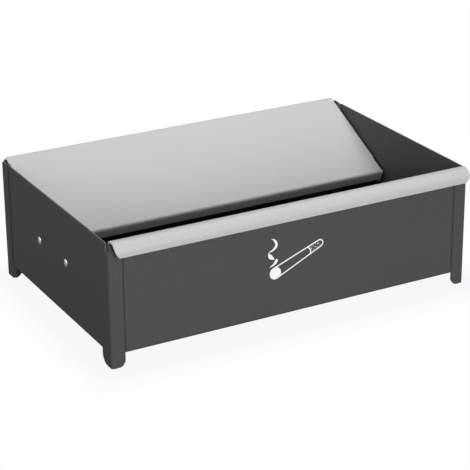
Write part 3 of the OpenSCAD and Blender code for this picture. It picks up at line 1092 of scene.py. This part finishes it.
@dataclass(frozen=True)
class BlindRivet(Turned):
    """A domed blind rivet: the dome is a cap of a sphere, and its far end is upset in a tail."""

    grip: float
    shank: float = 2.0
    head_r: float = 4.0
    head_t: float = 1.2
    tail_r: float = 3.0
    tail_t: float = 2.4
    mandrel_r: float = 1.12
    tail_rounds: tuple[float, float] = (0.7, 0.5)
    edge_r: float = 0.12
    edge_h: float = 0.14
    dome_inset: float = 0.15

    def profile(self) -> Array:
        """Radius and height from the hole's far end, along the outside and back over the dome."""
        end, tail = self.grip + self.tail_t, self.grip
        ball = (self.head_r**2 + self.head_t**2) / (2 * self.head_t)
        dome_r = np.linspace(self.head_r - self.dome_inset, self.mandrel_r + self.edge_r, 9)
        dome_h = ball - self.head_t - np.sqrt(ball**2 - dome_r**2)
        corners = [
            (self.mandrel_r, end, 0),
            (self.tail_r, end, self.tail_rounds[0]),
            (self.tail_r, tail, self.tail_rounds[1]),
            (self.shank, tail, 0),
            (self.shank, 0, 0),
            (self.head_r, 0, self.edge_r),
            (self.head_r, -self.edge_h, 0),
        ]
        dome = together(dome_r, dome_h)
        hole = together(self.mandrel_r, (dome_h[-1] + self.edge_h, end))
        return np.concatenate([bent_line(corners, step=20), dome, hole])


@dataclass(frozen=True)
class Ring(Turned):
    """A washer, spacer or sleeve with rounded edges."""

    outer_r: float
    length: float
    round_r: float
    inner_r: float = 2.03

    def profile(self) -> Array:
        """The ring's section with its four edges rounded, from the middle of its far end."""
        r, inner, outer, end = self.round_r, self.inner_r, self.outer_r, self.length
        middle = (inner + outer) / 2
        corners = [
            (middle, end, 0),
            (outer, end, r),
            (outer, 0, r),
            (inner, 0, r / 2),
            (inner, end, r / 2),
            (middle, end, 0),
        ]
        return bent_line(corners, step=18)


@dataclass(frozen=True)
class SideHardware:
    """The pivot and the stop on one side: two rivets, a spacer, a washer and a rubber sleeve."""

    side: Side
    stop_reach: float = 64.2
    spacer: Ring = Ring(4.2, 2.0, 0.25)
    washer: Ring = Ring(4.2, 1.0, 0.15)
    sleeve: Ring = Ring(4.0, 8.0, 0.6)
    washer_x: float = 5.6

    def build(self, paints: Paintbox) -> None:
        """Makes and dresses the five pieces."""
        word = self.side.word
        inward = -self.side.value
        face = 0.0 if self.side is Side.LEFT else BOX.width
        pivot, stop = BOX.pivot_y, BOX.pivot_y - self.stop_reach
        pivot_rivet = BlindRivet(self.washer_x + self.washer.length)
        stop_rivet = BlindRivet(BOX.sheet + self.sleeve.length)
        parts = [
            ("pivot_rivet", pivot_rivet, pivot, 0.0, RIVET_METAL),
            ("pivot_spacer", self.spacer, pivot, BOX.sheet, NYLON),
            ("pivot_washer", self.washer, pivot, self.washer_x, WASHER_METAL),
            ("stop_rivet", stop_rivet, stop, 0.0, RIVET_METAL),
            ("stop_sleeve", self.sleeve, stop, BOX.sheet, RUBBER),
        ]
        for kind, maker, y, depth, finish in parts:
            origin = (face + inward * depth, y, BOX.pivot_z)
            piece = maker.make(f"{kind}_{word}", origin, (inward, 0, 0))
            paints.stand_in(piece, finish, Body.BOX, f"{word}_{kind}")


@dataclass(frozen=True)
class CapRivets:
    """The rivets that hold the cap's leg to the hem, whose tails are cut short inside the hem."""

    count: int = 5
    first_x: float = 40.0
    up: float = 8.4
    tail_t: float = 1.7

    def build(self, paints: Paintbox) -> None:
        """Makes and dresses the rivets as one piece."""
        rivet = BlindRivet(2 * BOX.sheet, tail_t=self.tail_t)
        height = BOX.cap_leg_z + self.up
        places = np.linspace(self.first_x, BOX.width - self.first_x, self.count)
        rivets = [
            rivet.make(f"rivet_{i}", (x, BOX.cap_back, height), (0, -1, 0))
            for i, x in enumerate(places)
        ]
        paints.stand_in(joined("cap_rivet_row", rivets), RIVET_METAL, Body.BOX, "cap_rivets")


class KeptNodes(Enum):
    """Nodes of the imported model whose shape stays, and their finish."""

    rivet_mandrels = MANDREL_METAL
    front_pictogram = FILM

    def build(self, paints: Paintbox) -> None:
        """Dresses the node."""
        paints.dress(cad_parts[self.name], self.value)
        LOG.info("%s keeps its shape", self.name)


# -------- the studio


@dataclass(frozen=True)
class Softbox:
    """A round soft lamp that is aimed at the box."""

    name: str
    place: Point
    size: float
    watts: float
    aim: Point = (0.0, 0.0, 0.06)

    def build(self) -> None:
        """Hangs the lamp."""
        lamp = bpy.data.lights.new(self.name, "AREA")
        lamp.shape, lamp.size, lamp.energy = "DISK", self.size, self.watts
        holder = linked(self.name, lamp)
        holder.location = self.place
        ahead = Vector(self.aim) - holder.location
        holder.rotation_mode = "QUATERNION"
        holder.rotation_quaternion = ahead.to_track_quat("-Z", "Y")


@dataclass(frozen=True)
class Studio:
    """A plain room: soft lamps, a white background and a pale floor."""

    lamps: tuple[Softbox, ...] = (
        Softbox("overhead", (0.5, 0.0, 1.6), 1.4, 6.2),
        Softbox("above", (0.2, 0.0, 1.0), 0.9, 3.7),
        Softbox("front", (-0.2, -2.0, 0.45), 1.2, 35.5),
        Softbox("left", (-2.0, 0.1, 0.65), 1.0, 12.1),
    )
    floor_size: float = 8.0
    floor_colour: Colour = grey(0.35)
    floor_glow: float = 0.92
    glow_width: float = 0.05

    def build(self) -> None:
        """Sets up the lamps, the world and the floor."""
        for lamp in self.lamps:
            lamp.build()
        self.world()
        self.floor()

    def world(self) -> None:
        """White where it is seen directly, mirrored or through something, and dark elsewhere."""
        made = bpy.data.worlds.new("studio_air")
        bpy.context.scene.world = made
        graph = Graph(made)
        seen = graph.node(
            "Math",
            {"operation": "ADD", "use_clamp": True},
            _0=graph.ray("Camera") + graph.ray("Glossy"),
            _1=graph.ray("Transmission"),
        )
        graph.surface(graph.node("Background", Color=WHITE, Strength=seen))

    def floor(self) -> None:
        """A pale floor with the box's shadow, which the camera sees as white further out.

        The way from the box's footprint is the larger of |x| - width / 2 and |y| - depth / 2.
        """
        half = self.floor_size / 2
        grid = ruled(together((half, -half), 0.0), (-half, half))
        points, quads = stitched([grid])
        mesh = bpy.data.meshes.new("studio_floor")
        mesh.from_pydata(points, [], quads.tolist())
        made = linked("studio_floor", mesh)
        paint = bpy.data.materials.new("studio_floor")
        graph = Graph(paint)
        beyond = []
        for axis, size in (("X", BOX.width), ("Y", BOX.depth)):
            spot = graph.node("SeparateXYZ", {"output": axis}, Vector=graph.place())
            beyond.append(graph.maths("ABSOLUTE", spot) - size / 2 / MM_PER_M)
        white = graph.node(
            "MapRange",
            {"interpolation_type": "SMOOTHSTEP"},
            Value=graph.maths("MAXIMUM", *beyond),
            From_Min=0.0,
            From_Max=self.glow_width,
            To_Min=self.floor_glow,
            To_Max=1.0,
        )
        matt = graph.node("BsdfDiffuse", Color=self.floor_colour)
        glow = graph.node("Emission", Color=WHITE, Strength=1.0)
        graph.surface(graph.node("MixShader", _0=graph.ray("Camera") * white, _1=matt, _2=glow))
        mesh.materials.append(paint)


@dataclass(frozen=True)
class Viewpoint:
    """The camera: where it stands, how it is turned, and the middle of its picture.

    The view direction is (sin yaw cos pitch, cos yaw cos pitch, -sin pitch), and roll turns the
    picture about it.
    """

    place: Point = (-595.876, -1332.455, 741.363)
    yaw: float = 0.509317
    pitch: float = 0.374702
    roll: float = -0.0048918
    focal: float = 1742.482
    middle: tuple[float, float] = (250.0, 200.0)
    frame: float = 470.0
    sensor: float = 36.0
    clip: tuple[float, float] = (0.01, 50.0)

    def build(self) -> None:
        """Makes the scene's camera."""
        data = bpy.data.cameras.new("viewpoint")
        data.sensor_width = self.sensor
        data.lens = self.focal * self.sensor / self.frame
        data.shift_x = (self.frame / 2 - self.middle[0]) / self.frame
        data.shift_y = (self.middle[1] - self.frame / 2) / self.frame
        data.clip_start, data.clip_end = self.clip
        sy, cy = math.sin(self.yaw), math.cos(self.yaw)
        sp, cp = math.sin(self.pitch), math.cos(self.pitch)
        ahead, right = Vector((sy * cp, cy * cp, -sp)), Vector((cy, -sy, 0))
        up = right.cross(ahead)
        turn = Matrix.Rotation(-self.roll, 3, ahead)
        columns = (turn @ right, turn @ up, -ahead)
        holder = linked("viewpoint", data)
        holder.matrix_world = Matrix(columns).transposed().to_4x4()
        holder.location = Vector(in_frame(np.array(self.place)))
        bpy.context.scene.camera = holder


@dataclass
class AshtrayBin:
    """The whole object, piece by piece."""

    paints: Paintbox = field(default_factory=Paintbox)

    def build(self) -> None:
        """Builds and dresses every piece."""
        pieces = [
            *(SidePanel(side) for side in Side),
            FrontPanel(),
            RearPanel(),
            FloorPlate(),
            FrontCap(),
            LidFlap(),
            *(SideHardware(side) for side in Side),
            CapRivets(),
            *KeptNodes,
        ]
        for piece in pieces:
            piece.build(self.paints)


def main() -> None:
    """Dresses the object and sets up the studio and the camera."""
    logging.basicConfig(level=logging.INFO, format="%(name)s: %(message)s")
    AshtrayBin().build()
    Studio().build()
    bpy.context.scene.view_settings.view_transform = "Standard"
    Viewpoint().build()


if __name__ == "__main__":
    main()
